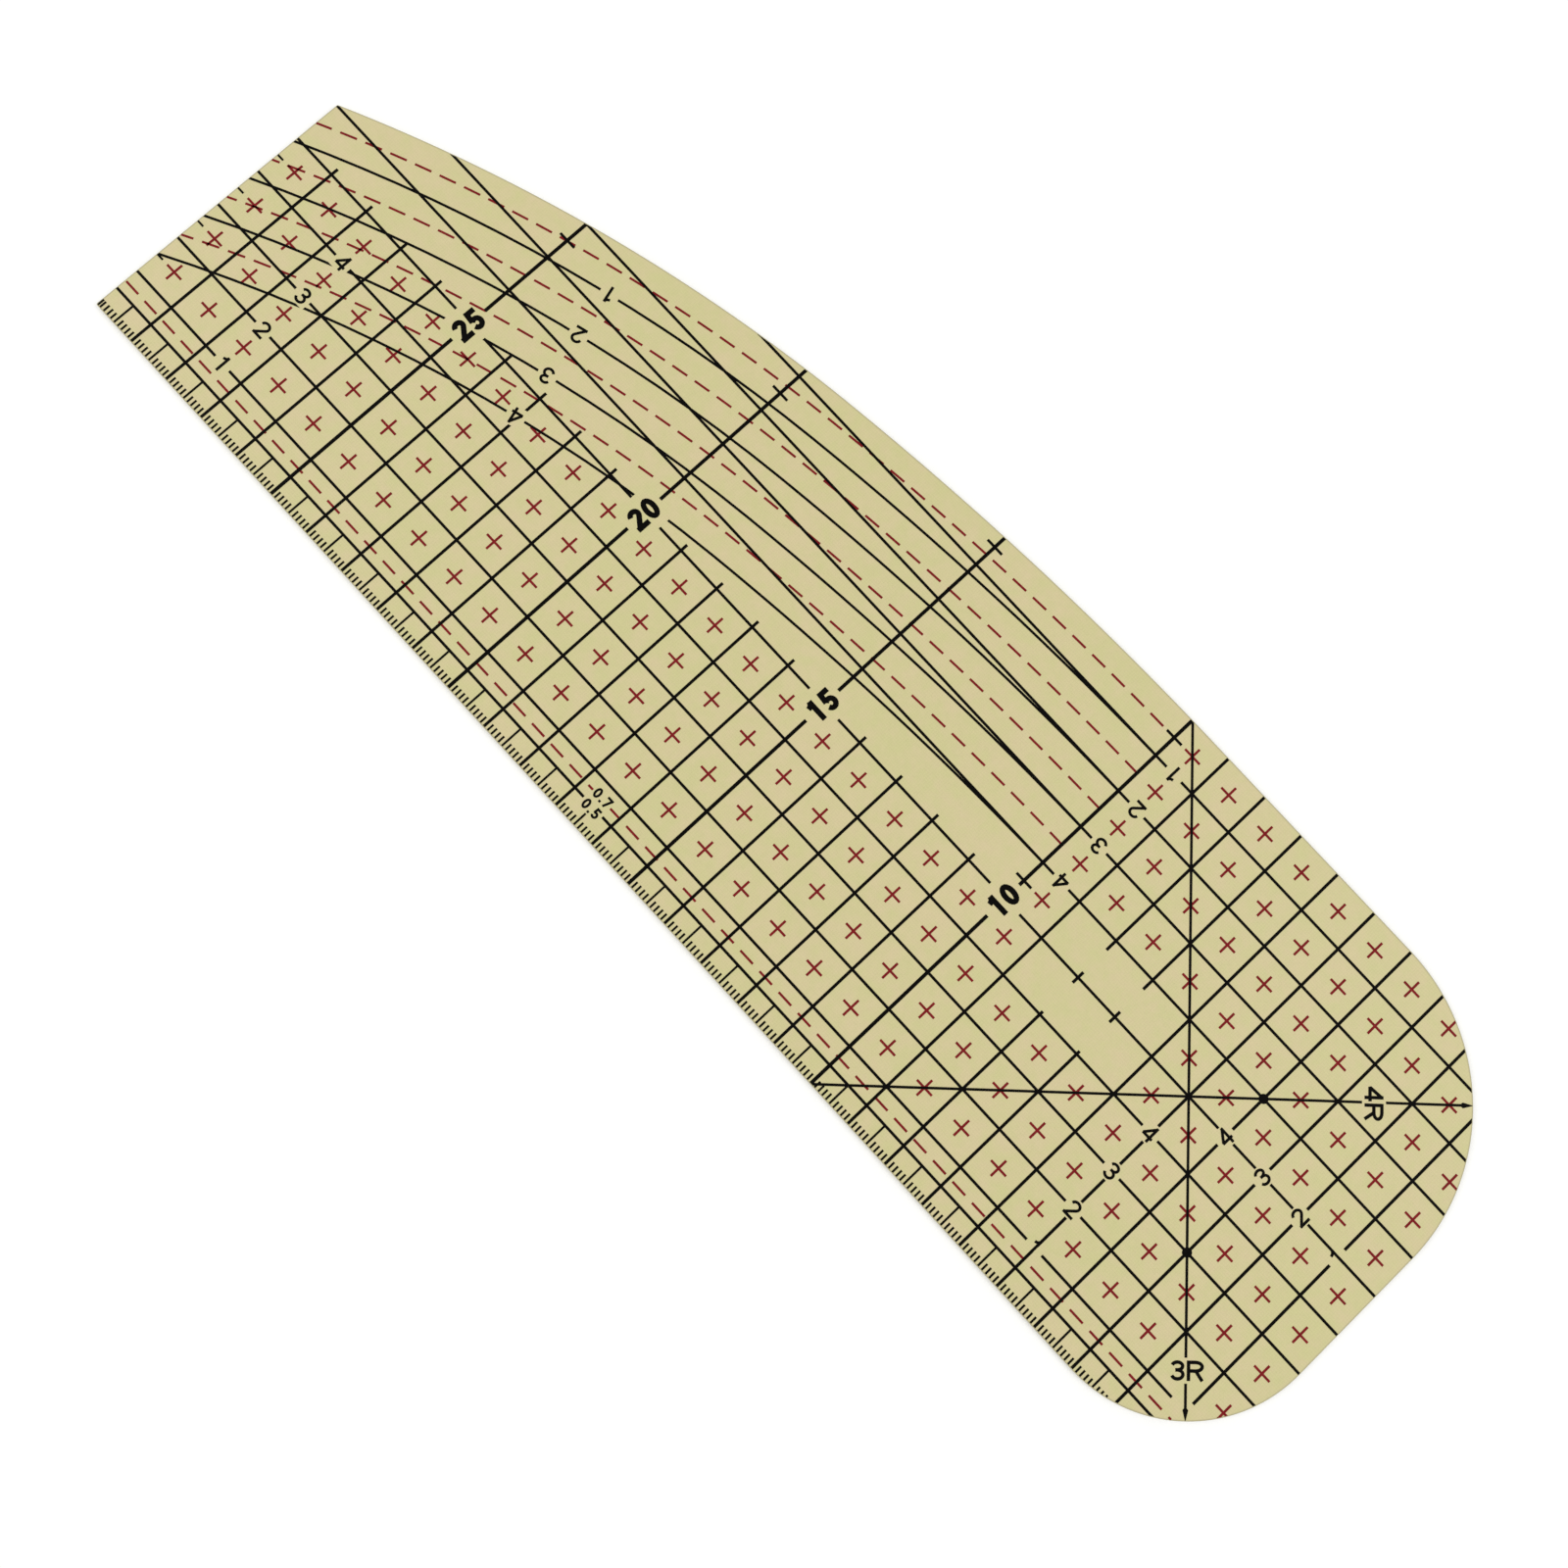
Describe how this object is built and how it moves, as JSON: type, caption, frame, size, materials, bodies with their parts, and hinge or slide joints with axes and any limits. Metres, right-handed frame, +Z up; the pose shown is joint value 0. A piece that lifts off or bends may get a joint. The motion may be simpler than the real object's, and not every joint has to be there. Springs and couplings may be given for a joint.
{
  "type": "quilting ruler",
  "caption": "Flat heat-resistant quilting ruler with a rounded head, a curved hem edge and a printed centimetre grid with seam, hem, mitre and radius lines.",
  "frame": {"origin": "middle of the sheet's underside, under the centre of its bounding box", "axes": "+X towards the rounded head, where the scale starts; the straight measuring edge is on the -Y side and the curved hem edge on the +Y side; +Z is up, out of the printed face"},
  "size_m": [0.3, 0.1, 0.001],
  "materials": {
    "laminate": "matte pale yellow-green glass-fibre laminate, faintly mottled, with a fine weave",
    "black_ink": "screen-printed black ink, satin",
    "red_ink": "screen-printed dark red ink, satin"
  },
  "bodies": {
    "root": {"column_10_digit_1": "black_ink", "column_10_digit_2": "black_ink", "column_15_digit_1": "black_ink", "column_15_digit_2": "black_ink", "column_20_digit_1": "black_ink", "column_20_digit_2": "black_ink", "column_25_digit_1": "black_ink", "column_25_digit_2": "black_ink", "head_2_digit_1": "black_ink", "head_3_digit_1": "black_ink", "head_4_digit_1": "black_ink", "hem_1_head_digit_1": "black_ink", "hem_1_tail_digit_1": "black_ink", "hem_2_head_digit_1": "black_ink", "hem_2_tail_digit_1": "black_ink", "hem_3_head_digit_1": "black_ink", "hem_3_tail_digit_1": "black_ink", "hem_4_head_digit_1": "black_ink", "hem_4_tail_digit_1": "black_ink", "line_network": "black_ink", "radius_lower_digit_1": "black_ink", "radius_lower_letter": "black_ink", "radius_upper_digit_1": "black_ink", "radius_upper_letter": "black_ink", "row_1_tail_digit_1": "black_ink", "row_2_head_digit_1": "black_ink", "row_2_tail_digit_1": "black_ink", "row_3_head_digit_1": "black_ink", "row_3_tail_digit_1": "black_ink", "row_4_head_digit_1": "black_ink", "row_4_tail_digit_1": "black_ink", "ruler_sheet": "laminate", "seam_05_digit_1": "black_ink", "seam_05_digit_3": "black_ink", "seam_05_point": "black_ink", "seam_07_digit_1": "black_ink", "seam_07_digit_3": "black_ink", "seam_07_point": "black_ink", "short_line_1": "black_ink", "short_line_10": "black_ink", "short_line_2": "black_ink", "short_line_3": "black_ink", "short_line_4": "black_ink", "short_line_5": "black_ink", "short_line_6": "black_ink", "short_line_7": "black_ink", "short_line_8": "black_ink", "short_line_9": "black_ink"}
  },
  "joints": []
}
